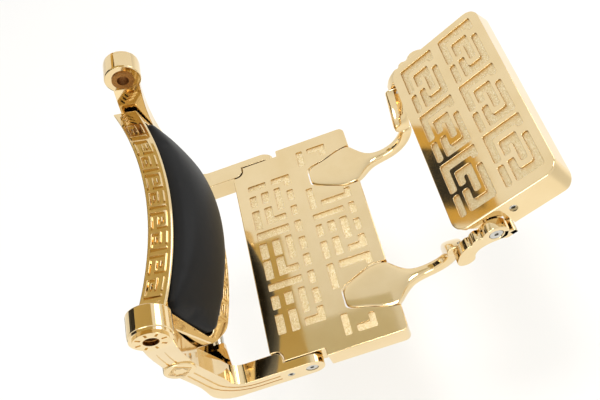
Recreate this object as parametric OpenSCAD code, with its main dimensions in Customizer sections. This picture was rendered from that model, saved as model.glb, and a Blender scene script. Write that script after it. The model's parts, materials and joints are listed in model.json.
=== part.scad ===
// Leg rest and footrest assembly of a barber chair.
// Two side arms hang from a cross shaft and carry a bowed calf pad and a footplate.
// Two swan necks rise from the footplate to a second, tilting foot pad.
// Frame: origin at the middle of the hanging shaft's axis, +Z up, -Y towards the toes,
// +X to the sitter's left. Millimetres.

/* [Footplate] */
// Width of the footplate
plate_w = 362; // [350:1:370]
// Depth of the footplate, heel edge to toe edge
plate_d = 190; // [186:1:196]
// Depth of the footplate's skirt
plate_t = 32; // [30:1:34]
// Thickness of the footplate's top wall
plate_wall = 8; // [7:0.5:9]

/* [Side arms] */
// Height of the hanging shaft above the footplate's top
drop = 248; // [240:1:256]
// Distance of the hanging shaft behind the footplate's heel edge
setback = 66; // [60:1:70]
// Outer face of an arm at the footplate, from the centre plane
arm_out = 183; // [183:0.5:184]
// Thickness of an arm's lug
arm_t = 28; // [26:1:28]
// Depth of the arm's bar in side view
bar_h = 36; // [34:1:36]
// Outward spread of an arm from the footplate up to the shaft
spread = 24; // [20:1:26]
// Radius of the hanging shaft's bore
shaft_r = 8; // [7:0.5:9]

/* [Calf pad] */
// Radius of the calf pad's bow in plan
bow_r = 470; // [440:10:520]
// Height of the calf pad's top edge above the footplate
calf_top = 200; // [196:1:202]
// Height of the calf pad's bottom edge above the footplate
calf_bottom = 57; // [55:1:60]
// Depth of the calf frame, front to back
calf_depth = 30; // [26:1:32]

/* [Foot pad] */
// Width of the foot pad's top face
pad_w = 278; // [276:1:278]
// Depth of the foot pad
pad_d = 145; // [140:1:150]
// Thickness of the foot pad
pad_t = 33; // [32:0.5:34]
// How far each end face of the foot pad leans out at the bottom
pad_flare = 10; // [6:1:11]
// Pitch of the foot pad, toe end up
pad_pitch = 29; // [27:1:31]

/* [Hidden] */
$fn = 64;
eps = 0.02;

gold = "#E2C78C";
steel = "#B9BCC0";
leather = "#26272B";
bronze = "#A9793F";
ply = "#B58B5A";
nylon = "#DDD8CC";

// Arm: finger, lug and knee, in the footplate's frame
finger_in = 171;
finger_r = bar_h / 2;
plate_pivot = [-50, -finger_r];
lug_y = -16;
lug_round = 11;
knee_y = 26;
knee_r = 30;
heel_r = 34;
bend = [88, 150];
boss_r = 25;
boss_w = 28;
boss_out = arm_out + spread + 2;
groove_w = 3;
groove_deep = 1.2;
set_screw_y = -20;

// Fasteners shared by the two pivots
head_r = 8.2;
counterbore_r = 8.7;
counterbore_deep = 6;
shoulder_r = 5;
run_gap = 0.05;
thread_r = 4.5;
bush_r = 6.5;
set_r = 5;
hex_r = 3;

// Footplate openings
notch_in = 169.5;
notch_end = -76;
nest_in = 153.5;
nest_y = -18;
root_x = 108;
root_tip = -117;
root_deep = 8;
root_gap = 0.5;
relief_deep = 1.5;

// Calf pad
tie = [72, -6];
tie_r = 10;
tie_socket = 8;
calf_y = 40;
calf_lean = 22;
calf_axis = calf_y + bow_r;
frame_half = [[128, 57], [157, 84], [171, 212]];
cushion_half = 151;
cushion_z = [91, 195];
calf_sweep = 24;
bracket_x = [125, 141];
bracket_z = 74;
bracket_out = 151;
bracket_back = 86;
medallion = [86, 118];
board_t = 10;
cushion_gap = 1.5;

// Foot pad and its brackets: y runs towards the heel, z along the pad's normal
pad_at = [0, -279.5, 125];
pad_round = 16;
pad_wall = 5;
pad_boss = [-38, -25];
recess_in = 133;
recess_top = 139.4;
recess_end = -62;
recess_r = 17.5;
cheek_in = 140;
cheek_t = 15;
cheek_boss_r = 16;
dowel_r = 4;
dowel_at = [-284, 88];
foot_r = 6.5;
cover_t = 3;

// Meander recesses of the footplate: [nearest, furthest] from the heel edge, then X range
meander = [
    [18, 30, -131, -100], [18, 30, -92, -70], [18, 30, -43, -10], [18, 30, -8, 20],
    [18, 30, 45, 80], [19, 30, 88, 108], [38, 50, -132, -98], [38, 50, -90, -70],
    [38, 50, -8, 20], [38, 50, 88, 109], [59, 69, -110, -70], [59, 69, -21, 20],
    [59, 69, 68, 109], [78, 88, -102, -78], [78, 88, -70, -49], [78, 88, -40, -20],
    [78, 88, -12, 10], [78, 88, 20, 40], [78, 88, 50, 68], [78, 88, 78, 98],
    [18, 69, -62, -50], [18, 69, 26, 40], [20, 49, 118, 128], [107, 117, -162, -130],
    [107, 117, -90, -49], [107, 117, -40, -10], [107, 117, -1, 20], [107, 117, 49, 88],
    [107, 117, 133, 162], [125, 136, -40, -9], [125, 136, 0, 20], [144, 155, -18, 20],
    [163, 172, -10, 10], [163, 172, 20, 40], [107, 155, 29, 39],
    [58, 88, -130, -118], [78, 88, -118.5, -107], [58, 88, 117, 128], [78, 88, 107, 117.5],
    [38, 69, -42, -30], [38, 50, -30.5, -10], [38, 69, 49, 60], [38, 50, 59.5, 80],
    [144, 172, -40, -29], [162, 172, -29.5, -18], [125, 172, -61, -49], [163, 172, -68, -60.5],
    [125, 153, -162, -151], [144, 153, -151.5, -140], [125, 154, 152, 162],
    [144, 154, 141, 152.5], [125, 172, 50, 60], [163, 172, 59.5, 68]
];

// One foot pad motif: [nearest, furthest] from its heel side, then down from its top edge
motif = [
    [0, 9.5, 0, 44], [9, 44.5, 0, 12], [44, 52.5, 0, 18],
    [15, 24, 20, 42], [23.5, 39, 20, 31], [30, 39, 30.5, 60],
    [0.5, 9, 49, 80], [15, 24, 49, 80], [23.5, 44.5, 68, 80], [44, 52.5, 29, 80]
];
motif_starts = [15, 80.5];
motif_tops = [128, 42, -44];

// Moves children from the footplate's frame (heel edge, top face) to the part's frame
module at_plate() {
    translate([0, -setback, -drop]) children();
}

// Moves children from the foot pad's frame (heel edge, top face) to the part's frame
module at_pad() {
    at_plate() translate(pad_at) rotate([-pad_pitch, 0, 0]) children();
}

// Shapes drawn on the +X side, on either side
module side(s) {
    mirror([s < 0 ? 1 : 0, 0, 0]) children();
}

module both_sides() {
    children();
    mirror([1, 0, 0]) children();
}

// A cylinder along X from x0 to x1 at [y, z]
module bar_x(x0, x1, at, r) {
    translate([x0, at.x, at.y]) rotate([0, 90, 0]) cylinder(h = x1 - x0, r = r);
}

// A side-view outline, y and z, given thickness along X from x0 to x1
module slab_x(x0, x1) {
    translate([x0, 0, 0]) rotate([90, 0, 90]) linear_extrude(x1 - x0) children();
}

module hex_x(x0, x1, at) {
    translate([x0, at.x, at.y]) rotate([0, 90, 0]) cylinder(h = x1 - x0, r = hex_r, $fn = 6);
}

// Shoulder screw along X: head outside, then shoulder, then thread
module shoulder_screw(at, head_out, shoulder_in, thread_in) {
    difference() {
        union() {
            bar_x(head_out - 5, head_out, at, head_r);
            bar_x(shoulder_in, head_out - 5 + eps, at, shoulder_r);
            bar_x(thread_in, shoulder_in + eps, at, thread_r);
        }
        hex_x(head_out - 3, head_out + 1, at);
    }
}

module ring_x(x0, x1, at, r_out, r_in) {
    difference() {
        bar_x(x0, x1, at, r_out);
        bar_x(x0 - 1, x1 + 1, at, r_in);
    }
}

module set_screw(x0, x1, at) {
    difference() {
        bar_x(x0, x1, at, set_r);
        hex_x(x1 - 4, x1 + 1, at);
    }
}

// ---- Side arms -------------------------------------------------------------

// A short length of the arm's bar, used to join two heights
module arm_section(x, y, z, w, d) {
    translate([x, y - d / 2, z]) cube([w, d, 1]);
}

module arm_lower() {
    slab_x(finger_in, arm_out) {
        translate([plate_pivot.x, -bar_h]) square([-plate_pivot.x, bar_h]);
        translate(plate_pivot) circle(finger_r);
    }
    translate([arm_out - arm_t, 0, -bar_h]) linear_extrude(bar_h) {
        translate([0, lug_y + lug_round]) square([arm_t, knee_y - lug_y - lug_round]);
        translate([lug_round, lug_y]) square([arm_t - lug_round, lug_round + 1]);
        translate([lug_round, lug_y + lug_round]) circle(lug_round);
    }
    slab_x(arm_out - arm_t, arm_out) difference() {
        translate([knee_y, -bar_h]) square(knee_r + bar_h);
        translate([knee_y, knee_r]) circle(knee_r);
        difference() {
            translate([knee_y + knee_r + bar_h - heel_r, -bar_h - 1]) square([heel_r + 1, heel_r + 1]);
            translate([knee_y + knee_r + bar_h - heel_r, heel_r - bar_h]) circle(heel_r);
        }
    }
}

module arm_upper() {
    top = [setback, drop];
    base_y = knee_y + knee_r + bar_h / 2;
    mid_x = arm_out - arm_t + spread * 0.55;
    top_x = boss_out - boss_w + 2;
    hull() {
        arm_section(arm_out - arm_t, base_y, knee_r - 1, arm_t, bar_h);
        arm_section(mid_x, bend.x, bend.y, arm_t - 3, bar_h - 2);
    }
    hull() {
        arm_section(mid_x, bend.x, bend.y, arm_t - 3, bar_h - 2);
        arm_section(top_x, top.x, top.y, boss_w - 4, bar_h);
    }
    bar_x(boss_out - boss_w, boss_out, top, boss_r);
    bar_x(arm_out - 4, arm_out + 12, medallion, 20);
}

// Two grooves that follow the bar round the knee on the outer face
module arm_grooves() {
    for (inset = [11, 21]) {
        translate([arm_out - groove_deep, -8, -inset - groove_w])
            cube([5, knee_y + 8, groove_w]);
        translate([arm_out - groove_deep, knee_y, knee_r]) rotate([0, 90, 0])
            rotate_extrude(angle = 90) translate([knee_r + inset, 0]) square([groove_w, 5]);
    }
}

module side_arm(s) {
    side(s) at_plate() color(gold) difference() {
        union() {
            arm_lower();
            arm_upper();
        }
        arm_grooves();
        bar_x(finger_in - 1, arm_out + 1, plate_pivot, bush_r + run_gap);
        bar_x(arm_out - counterbore_deep, arm_out + 1, plate_pivot, counterbore_r);
        bar_x(finger_in - 1, arm_out + 1, [set_screw_y, -finger_r], set_r + run_gap);
        bar_x(boss_out - boss_w - 1, boss_out + 1, [setback, drop], shaft_r + 3 + run_gap);
        bar_x(arm_out - arm_t - 1, arm_out - arm_t + tie_socket, tie, tie_r + run_gap);
        translate([arm_out - arm_t + tie_socket / 2, tie.x, tie.y - 60])
            cylinder(h = 60, r = 2.5 + run_gap);
    }
}

// Flanged bushes that line the shaft's bore
module shaft_bushes() {
    both_sides() color(bronze) difference() {
        union() {
            bar_x(boss_out - boss_w, boss_out, [0, 0], shaft_r + 3);
            bar_x(boss_out - boss_w - 2, boss_out - boss_w, [0, 0], shaft_r + 7);
        }
        bar_x(boss_out - boss_w - 3, boss_out + 1, [0, 0], shaft_r);
    }
}

// Stepped ring on the outer face of each shaft boss
module pivot_rosettes() {
    both_sides() color(gold) difference() {
        union() {
            bar_x(boss_out, boss_out + 3, [0, 0], boss_r - 1);
            bar_x(boss_out + 3, boss_out + 5.5, [0, 0], boss_r - 5);
        }
        bar_x(boss_out - 1, boss_out + 7, [0, 0], shaft_r + 1);
        for (a = [0 : 45 : 315])
            rotate([a, 0, 0]) translate([boss_out + 4, -1.5, 12]) cube([3, 3, 6]);
    }
}

module cross_tie() {
    end = arm_out - arm_t + tie_socket;
    at_plate() color(steel) difference() {
        bar_x(-end, end, tie, tie_r);
        bar_x(-end - 1, end + 1, tie, tie_r - 3);
        for (s = [-1, 1])
            translate([s * (end - tie_socket / 2), tie.x, tie.y - 20]) cylinder(h = 20, r = 2.5);
    }
}

module cross_tie_pins() {
    at_plate() both_sides() color(steel)
        translate([arm_out - arm_t + tie_socket / 2, tie.x, tie.y - 19]) cylinder(h = 13, r = 2.5);
}

module footplate_bushes() {
    at_plate() both_sides() color(bronze)
        ring_x(finger_in, arm_out - counterbore_deep, plate_pivot, bush_r, shoulder_r + run_gap);
}

module footplate_set_screws() {
    at_plate() both_sides() color(steel)
        set_screw(notch_in + 0.6, arm_out - 0.3, [set_screw_y, -finger_r]);
}

// ---- Calf pad --------------------------------------------------------------

// Bowed slab between two profiles: r0 at the back, r1 at the front, leaning back at the top
module bowed_slab(front, back, z0, z1, crest = 0) {
    lean = function(z) calf_lean * (calf_top - z) / (calf_top - calf_bottom);
    translate([0, calf_axis, 0]) rotate([0, 0, -90 - calf_sweep])
        rotate_extrude(angle = 2 * calf_sweep, $fn = 180) polygon([
            [bow_r + front + lean(z0), z0], [bow_r + front + lean(z1), z1],
            [bow_r - back + lean(z1), z1 + crest], [bow_r - back + lean(z0), z0]
        ]);
}

// Front-view outline of the cushion, shrunk by inset, running through in Y
module cushion_outline(inset) {
    r = 13 - inset;
    translate([0, 200, 0]) rotate([90, 0, 0]) linear_extrude(260) hull()
        for (x = [-1, 1], z = cushion_z)
            translate([x * (cushion_half - inset - r), z == cushion_z[0] ? z + inset + r : z - inset - r])
                circle(r, $fn = 32);
}

module calf_frame() {
    f = frame_half;
    at_plate() color(gold) difference() {
        intersection() {
            bowed_slab(0, calf_depth, calf_bottom, calf_top, 8);
            translate([0, 200, 0]) rotate([90, 0, 0]) linear_extrude(260) polygon([
                [-f[0].x, f[0].y], [f[0].x, f[0].y], [f[1].x, f[1].y], [f[2].x, f[2].y],
                [-f[2].x, f[2].y], [-f[1].x, f[1].y]
            ]);
        }
        cushion_outline(0);
        both_sides() for (x = bracket_x)
            translate([x, bracket_back - 28.5, bracket_z]) rotate([-90, 0, 0])
                cylinder(h = 60, r = 2.5 + run_gap);
    }
}

module calf_board() {
    at_plate() color(ply) difference() {
        intersection() {
            bowed_slab(-calf_depth + board_t, calf_depth, calf_bottom, calf_top);
            cushion_outline(0.5);
        }
        board_screw_places() cylinder(h = 5, r = 5 + run_gap);
    }
}

// Plain upholstered block, its front bulging in flat facets about the middle
module calf_cushion() {
    back = bow_r - calf_depth + board_t + 0.5;
    at_plate() color(leather) intersection() {
        translate([0, calf_axis, 0]) rotate([0, 0, -90 - calf_sweep])
            rotate_extrude(angle = 2 * calf_sweep, $fn = 180) polygon([
                [back, calf_top], [bow_r + 8, calf_top], [bow_r + 32, 160], [bow_r + 40, 120],
                [bow_r + 26, 90], [bow_r + calf_lean + 2, calf_bottom],
                [back + calf_lean, calf_bottom]
            ]);
        cushion_outline(cushion_gap);
    }
}

// Where the screws sit in the back of the calf board, two millimetres deep
module board_screw_places() {
    for (x = [-70, 70], z = [112, 172])
        translate([x, calf_axis - sqrt(pow(bow_r - calf_depth + calf_lean * (calf_top - z)
            / (calf_top - calf_bottom), 2) - x * x) - 2, z])
            rotate([-90, 0, 0]) children();
}

module calf_board_screws() {
    at_plate() color(steel) board_screw_places() cylinder(h = 5, r = 5);
}

// Gusset from the cross tie up to the calf frame, with a flange behind the frame's bottom rail
module calf_bracket(s) {
    side(s) at_plate() color(gold) difference() {
        union() {
            slab_x(bracket_out - 7, bracket_out) hull() {
                translate(tie) circle(tie_r + 6);
                translate([44, 48]) square([bracket_back - 44, 14]);
            }
            slab_x(117, bracket_out) translate([58, 48]) square([bracket_back - 58, 40]);
        }
        bar_x(bracket_out - 8, bracket_out + 1, tie, tie_r + run_gap);
        bowed_slab(30, calf_depth + 0.03, calf_bottom - 0.03, calf_top);
        for (x = bracket_x)
            translate([x, 50, bracket_z]) rotate([-90, 0, 0]) cylinder(h = 50, r = 2.5 + run_gap);
    }
}

module calf_bracket_screws() {
    at_plate() both_sides() color(steel) for (x = bracket_x)
        translate([x, bracket_back - 28, bracket_z]) rotate([-90, 0, 0]) {
            cylinder(h = 28, r = 2.5);
            translate([0, 0, 28]) cylinder(h = 3, r = 4.5);
        }
}

// ---- Footplate -------------------------------------------------------------

// Plan of a swan neck's root, grown by g
module root_plan(g) {
    tip = root_tip + g;
    toe = -plate_d - 4;
    translate([root_x, 0]) {
        polygon([
            [-6, tip], [6, tip], [14 + g, tip - 8], [18 + g, tip - 24], [25 + g, tip - 38],
            [33 + g, tip - 50], [37 + g, tip - 62], [37 + g, toe], [-37 - g, toe],
            [-37 - g, tip - 62], [-33 - g, tip - 50], [-25 - g, tip - 38],
            [-18 - g, tip - 24], [-14 - g, tip - 8]
        ]);
        for (s = [-1, 1]) translate([s * 6, tip - 8 - g]) circle(8 + g, $fn = 32);
    }
}

module plate_plan() {
    toe_r = 10;
    difference() {
        union() {
            translate([-plate_w / 2, -plate_d + toe_r]) square([plate_w, plate_d - toe_r]);
            translate([-plate_w / 2 + toe_r, -plate_d]) square([plate_w - 2 * toe_r, toe_r + 1]);
            for (s = [-1, 1]) translate([s * (plate_w / 2 - toe_r), -plate_d + toe_r])
                circle(toe_r);
        }
        for (s = [0, 1]) mirror([s, 0]) {
            translate([notch_in, notch_end]) square([40, 90]);
            translate([nest_in, nest_y + lug_round]) square([60, 60]);
            translate([nest_in + lug_round, nest_y]) square([60, 60]);
            translate([nest_in + lug_round, nest_y + lug_round]) circle(lug_round);
        }
    }
}

module plate_relief() {
    for (m = meander)
        translate([m[2], -m[1], -relief_deep]) cube([m[3] - m[2], m[1] - m[0], relief_deep + 1]);
}

module footplate() {
    at_plate() color(gold) difference() {
        translate([0, 0, -plate_t]) linear_extrude(plate_t) plate_plan();
        difference() {
            union() {
                translate([-162, -plate_d + 6, -plate_t - 1])
                    cube([324, plate_d - 32, plate_t + 1 - plate_wall]);
                translate([-147, -30, -plate_t - 1]) cube([294, 24, plate_t + 1 - plate_wall]);
            }
            both_sides() {
                translate([root_x - 24, -plate_d, -plate_t + 12]) cube([48, 84, plate_t]);
                bar_x(140, 163, plate_pivot, 11);
            }
        }
        both_sides() {
            translate([0, 0, -root_deep]) linear_extrude(root_deep + 1) root_plan(root_gap);
            bar_x(144, 171, plate_pivot, thread_r + run_gap);
            for (y = [-137, -172])
                translate([root_x, y, -plate_t - 1]) cylinder(h = plate_t, r = 4.3);
        }
        plate_relief();
    }
}

module footplate_pivot_screws() {
    at_plate() both_sides() color(steel)
        shoulder_screw(plate_pivot, arm_out - 0.8, notch_in + 0.05, 146);
}

module footplate_washers() {
    at_plate() both_sides() color(nylon)
        ring_x(notch_in + 0.1, finger_in - 0.1, plate_pivot, 11, shoulder_r + 0.2);
}

// ---- Swan necks ------------------------------------------------------------

// One station of the neck: a short bar along the path's direction, pitched up
module neck_station(x, y, z, pitch, w, h) {
    translate([x, y, z]) rotate([-pitch, 0, 0]) translate([-w / 2, -0.5, -h / 2]) cube([w, 1, h]);
}

module neck_stations() {
    s = [
        [108, -194, -9, 0, 66, 18], [106, -206, -8, 2, 30, 17], [105.5, -228, -7, 6, 14, 17],
        [106, -250, 0, 30, 14, 18], [108, -268, 22, 56, 15, 19], [109, -277, 43, 80, 16, 18]
    ];
    for (i = [0 : len(s) - 2]) hull() for (k = [s[i], s[i + 1]])
        neck_station(k[0], k[1], k[2], k[3], k[4], k[5]);
}

// Bar that sweeps outwards from the top of the neck to the cheek
module neck_foot() {
    hull() {
        translate([102, -286, 40]) cube([14, 17, 6]);
        bar_x(122, 126, [-282, 64], foot_r + 1.5);
    }
    hull() {
        bar_x(122, 126, [-282, 64], foot_r + 1.5);
        bar_x(cheek_in - 4, cheek_in - 0.05, dowel_at, foot_r);
    }
}

module swan_neck(s) {
    side(s) at_plate() color(gold) difference() {
        union() {
            translate([0, 0, -root_deep]) linear_extrude(root_deep) root_plan(0);
            neck_stations();
            neck_foot();
        }
        translate([0, -plate_d + 0.3, -60]) cube([300, 200, 60 - root_deep]);
        bar_x(cheek_in - 10, cheek_in + 1, dowel_at, dowel_r);
        for (y = [-137, -172]) translate([root_x, y, -root_deep - 1]) cylinder(h = 7, r = 4 + run_gap);
    }
}

module swan_neck_bolts() {
    at_plate() both_sides() color(steel) for (y = [-137, -172])
        translate([root_x, y, 0]) difference() {
            union() {
                translate([0, 0, -plate_t + 4]) cylinder(h = plate_t - 6.5, r = 4);
                translate([0, 0, -plate_t + 4]) cylinder(h = 8, r = 6.5);
            }
            translate([0, 0, -plate_t + 3]) cylinder(h = 5, r = hex_r, $fn = 6);
        }
}

// ---- Cheeks ----------------------------------------------------------------

module cheek_outline() {
    difference() {
        union() {
            polygon([
                [27, -34], [13, -21], [5, -17], [-4, -14], [-19, -11.5], [-38, -11],
                [-38, -38], [-21, -32], [-6, -34], [1, -38], [8, -46], [12, -49],
                [22, -49], [28, -43]
            ]);
            translate(pad_boss) circle(cheek_boss_r);
        }
        translate([-26, -7]) circle(7);
        translate([-46, -7.5]) circle(5);
    }
}

module cheek(s) {
    side(s) color(gold) difference() {
        at_pad() {
            slab_x(cheek_in, cheek_in + cheek_t) cheek_outline();
            slab_x(126, cheek_in + cheek_t) polygon([[-57, -44], [-50, -44], [-50, -37], [-57, -37]]);
            slab_x(cheek_in, cheek_in + cheek_t)
                polygon([[-57, -44], [-42, -44], [-36, -36], [-48, -28], [-57, -37]]);
        }
        at_pad() {
            bar_x(cheek_in - 1, cheek_in + cheek_t + 1, pad_boss, bush_r);
            bar_x(cheek_in + cheek_t - counterbore_deep, cheek_in + cheek_t + 1,
                  pad_boss, counterbore_r);
        }
        at_plate() bar_x(cheek_in - 1, cheek_in + 9, dowel_at, dowel_r);
    }
}

module cheek_dowels() {
    at_plate() both_sides() color(steel) bar_x(cheek_in - 9, cheek_in + 8, dowel_at, dowel_r);
}

module cheek_bushes() {
    at_pad() both_sides() color(bronze)
        ring_x(cheek_in, cheek_in + cheek_t - counterbore_deep, pad_boss, bush_r,
               shoulder_r + run_gap);
}

// Buffers on the cheeks' ledges, under the foot pad's rim
module rest_buffers() {
    at_pad() both_sides() color(leather)
        translate([130, -53.5, -37]) cylinder(h = 3.95, r = 2.8);
}

// ---- Foot pad --------------------------------------------------------------

module round_plate(w, d, r) {
    translate([-w / 2, -d + r]) square([w, d - 2 * r]);
    translate([-w / 2 + r, -d]) square([w - 2 * r, d]);
    for (s = [-1, 1], y = [-r, -d + r]) translate([s * (w / 2 - r), y]) circle(r);
}

module pad_relief() {
    translate([0, 0, -relief_deep]) linear_extrude(relief_deep + 1)
        for (start = motif_starts, top = motif_tops, m = motif)
            translate([top - m[3], -start - m[1]]) square([m[3] - m[2], m[1] - m[0]]);
}

module foot_pad() {
    foot_w = pad_w + 2 * pad_flare;
    at_pad() color(gold) difference() {
        hull() {
            translate([0, 0, -0.5]) linear_extrude(0.5) round_plate(pad_w, pad_d, pad_round);
            translate([0, -24, -pad_t]) linear_extrude(0.5)
                round_plate(foot_w, pad_d - 24, pad_round);
        }
        both_sides() {
            translate([recess_top, recess_end, -pad_t - 1]) cube([40, 90, pad_t + 2]);
            translate([recess_in, -38, -pad_t - 1]) cube([40, 60, pad_t - 4]);
            bar_x(recess_in, recess_in + 40, pad_boss, recess_r);
            bar_x(105, recess_in + 1, pad_boss, thread_r + run_gap);
            bar_x(125, 160, [-74, -14], set_r + run_gap);
        }
        difference() {
            translate([0, -28, -pad_t - 3]) linear_extrude(pad_t - 2 - pad_wall)
                round_plate(250, pad_d - 36, 8);
            both_sides() bar_x(104, 140, pad_boss, 9);
        }
        translate([0, -46, -pad_t - 1]) linear_extrude(cover_t + 1)
            round_plate(240, pad_d - 52, 8);
        pad_relief();
    }
}

module foot_pad_back() {
    at_pad() color(gold) difference() {
        translate([0, -46.3, -pad_t]) linear_extrude(cover_t - 0.1)
            round_plate(239.4, pad_d - 52.6, 8);
        for (x = [-112, 0, 112], y = [-53, -pad_d + 13])
            translate([x, y, -pad_t - 1]) cylinder(h = 6, r = 2.2);
    }
}

module foot_pad_back_screws() {
    at_pad() color(steel) for (x = [-112, 0, 112], y = [-53, -pad_d + 13])
        translate([x, y, -pad_t - 1.5]) {
            cylinder(h = 1.5, r = 4);
            cylinder(h = 4.4, r = 2.2);
        }
}

module foot_pad_pivot_screws() {
    at_pad() both_sides() color(steel)
        shoulder_screw(pad_boss, cheek_in + cheek_t - 0.8, recess_in + 0.05, 108);
}

module foot_pad_spacers() {
    at_pad() both_sides() color(gold)
        ring_x(recess_in + 0.05, cheek_in - 0.1, pad_boss, 9, shoulder_r + 0.05);
}

module foot_pad_side_screws() {
    at_pad() both_sides() color(steel) set_screw(126, pad_w / 2 + 3, [-74, -14]);
}

side_arm(1);  // side_arm_left
side_arm(-1);  // side_arm_right
shaft_bushes();
pivot_rosettes();
cross_tie();
cross_tie_pins();
footplate_bushes();
footplate_set_screws();
calf_frame();
calf_board();
calf_cushion();
calf_board_screws();
calf_bracket(1);  // calf_bracket_left
calf_bracket(-1);  // calf_bracket_right
calf_bracket_screws();
footplate();
footplate_pivot_screws();
footplate_washers();
swan_neck(1);  // swan_neck_left
swan_neck(-1);  // swan_neck_right
swan_neck_bolts();
cheek(1);  // cheek_left
cheek(-1);  // cheek_right
cheek_dowels();
cheek_bushes();
rest_buffers();
foot_pad();
foot_pad_back();
foot_pad_back_screws();
foot_pad_pivot_screws();
foot_pad_spacers();
foot_pad_side_screws();
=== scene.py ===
import json
import math

import bmesh
import bpy
from mathutils import Matrix, Vector


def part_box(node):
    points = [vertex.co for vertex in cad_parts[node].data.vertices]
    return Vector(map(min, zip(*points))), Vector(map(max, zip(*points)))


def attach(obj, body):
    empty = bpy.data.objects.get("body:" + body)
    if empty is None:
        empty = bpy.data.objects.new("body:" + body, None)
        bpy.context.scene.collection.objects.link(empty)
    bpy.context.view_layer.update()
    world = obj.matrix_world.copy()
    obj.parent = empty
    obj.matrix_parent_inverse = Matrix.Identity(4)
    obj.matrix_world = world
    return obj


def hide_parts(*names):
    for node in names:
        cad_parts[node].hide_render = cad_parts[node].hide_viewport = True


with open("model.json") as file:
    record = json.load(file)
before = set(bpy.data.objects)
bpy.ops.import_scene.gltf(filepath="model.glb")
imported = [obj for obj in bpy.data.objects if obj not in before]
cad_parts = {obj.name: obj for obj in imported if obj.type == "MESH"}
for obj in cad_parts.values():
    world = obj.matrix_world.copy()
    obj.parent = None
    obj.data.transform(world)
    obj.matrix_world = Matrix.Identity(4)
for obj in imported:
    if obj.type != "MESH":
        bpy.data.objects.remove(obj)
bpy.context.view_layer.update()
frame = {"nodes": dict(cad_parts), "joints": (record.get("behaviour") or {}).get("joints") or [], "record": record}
scene = bpy.context.scene
scene.view_settings.view_transform = "Standard"
print("frame loaded:", len(frame["nodes"]), "nodes")

# Everything below is drawn in millimetres and scaled when a piece is finished.
mm = 0.001


cameraSettings = {
    "place": (-585, -273, 674),
    "aim": (-6.9, -174.5, -136),
    "up": (0.788, -0.325, 0.523),
    "lens": 45,  # on a 36 mm wide sensor
}


def lookAt(place, aim, up=(0, 0, 1)):
    back = (Vector(place) - Vector(aim)).normalized()
    right = Vector(up).cross(back).normalized()
    turn = Matrix((right, back.cross(right), back)).transposed().to_4x4()
    return Matrix.Translation(Vector(place) * mm) @ turn


def makeCamera(look):
    data = bpy.data.cameras.new("camera")
    data.lens = look["lens"]
    data.sensor_width = 36
    data.clip_start = 0.05
    camera = bpy.data.objects.new("camera", data)
    camera.matrix_world = lookAt(look["place"], look["aim"], look["up"])
    scene.collection.objects.link(camera)
    scene.camera = camera


makeCamera(cameraSettings)


def toLinear(hexValue):
    channels = [int(hexValue[i:i + 2], 16) / 255 for i in (1, 3, 5)]
    return [c / 12.92 if c <= 0.04045 else ((c + 0.055) / 1.055) ** 2.4 for c in channels] + [1.0]


def addNode(tree, kind, settings=None, links=None):
    # settings are input values, properties or a ramp's stops; a linked node gives its first output
    node = tree.nodes.new("ShaderNode" + kind)
    for key, value in (settings or {}).items():
        if key == "stops":
            elements = node.color_ramp.elements
            while len(elements) < len(value):
                elements.new(0.5)
            for element, (position, color) in zip(elements, value):
                element.position = position
                element.color = toLinear(color) if isinstance(color, str) else (color, color, color, 1)
        elif key in node.inputs.keys():
            node.inputs[key].default_value = value
        else:
            setattr(node, key, value)
    for key, source in (links or {}).items():
        if isinstance(source, bpy.types.Node):
            source = source.outputs[0]
        tree.links.new(source, node.inputs[key])
    return node


def newMaterial(name, settings):
    material = bpy.data.materials.new(name)
    material.use_nodes = True
    tree = material.node_tree
    tree.nodes.clear()
    shader = addNode(tree, "BsdfPrincipled", settings)
    output = addNode(tree, "OutputMaterial", links={"Surface": shader})
    output.location = (400, 0)
    place = addNode(tree, "TexCoord").outputs["Object"]
    return material, tree, shader, place


def per(sizeMm):
    # a pattern's scale, from the size of one of its features
    return 1 / (sizeMm * mm)


def polishedGold():
    # Gold plate over a hand-polished casting: a mirror that is never quite flat
    material, tree, shader, place = newMaterial("polishedGoldPlate", {"Metallic": 1.0})
    cloud = addNode(tree, "TexNoise", {"Scale": per(45), "Detail": 3}, {"Vector": place})
    tint = addNode(tree, "ValToRGB", {"stops": [(0.3, "#E6CD9D"), (0.7, "#EBD4A7")]}, {"Fac": cloud})
    wiped = addNode(tree, "TexNoise", {"Scale": per(30), "Detail": 4, "Roughness": 0.6}, {"Vector": place})
    haze = addNode(tree, "ValToRGB", {"stops": [(0.35, 0.045), (0.75, 0.11)]}, {"Fac": wiped})
    swell = addNode(tree, "TexNoise", {"Scale": per(38), "Detail": 1}, {"Vector": place})
    waves = addNode(tree, "Bump", {"Strength": 0.10, "Distance": 0.5 * mm}, {"Height": swell})
    peel = addNode(tree, "TexNoise", {"Scale": per(2.2), "Detail": 2}, {"Vector": place})
    skinBump = addNode(tree, "Bump", {"Strength": 0.10, "Distance": 0.02 * mm}, {"Height": peel, "Normal": waves})
    tree.links.new(tint.outputs["Color"], shader.inputs["Base Color"])
    tree.links.new(haze.outputs["Color"], shader.inputs["Roughness"])
    tree.links.new(skinBump.outputs["Normal"], shader.inputs["Normal"])
    return material


def stippledGold():
    # Relief floors left as struck: coarse bright grain under the same plate
    material, tree, shader, place = newMaterial("stippledGoldPlate", {"Metallic": 1.0, "Roughness": 0.42})
    grain = addNode(tree, "TexNoise", {"Scale": per(1.1), "Detail": 3, "Roughness": 0.7}, {"Vector": place})
    tint = addNode(tree, "ValToRGB", {"stops": [(0.35, "#D0B67C"), (0.5, "#EBD4A2"), (0.62, "#FFF5DC")]},
                   {"Fac": grain})
    stipple = addNode(tree, "Bump", {"Strength": 0.9, "Distance": 0.5 * mm}, {"Height": grain})
    tree.links.new(tint.outputs["Color"], shader.inputs["Base Color"])
    tree.links.new(stipple.outputs["Normal"], shader.inputs["Normal"])
    return material


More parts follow.
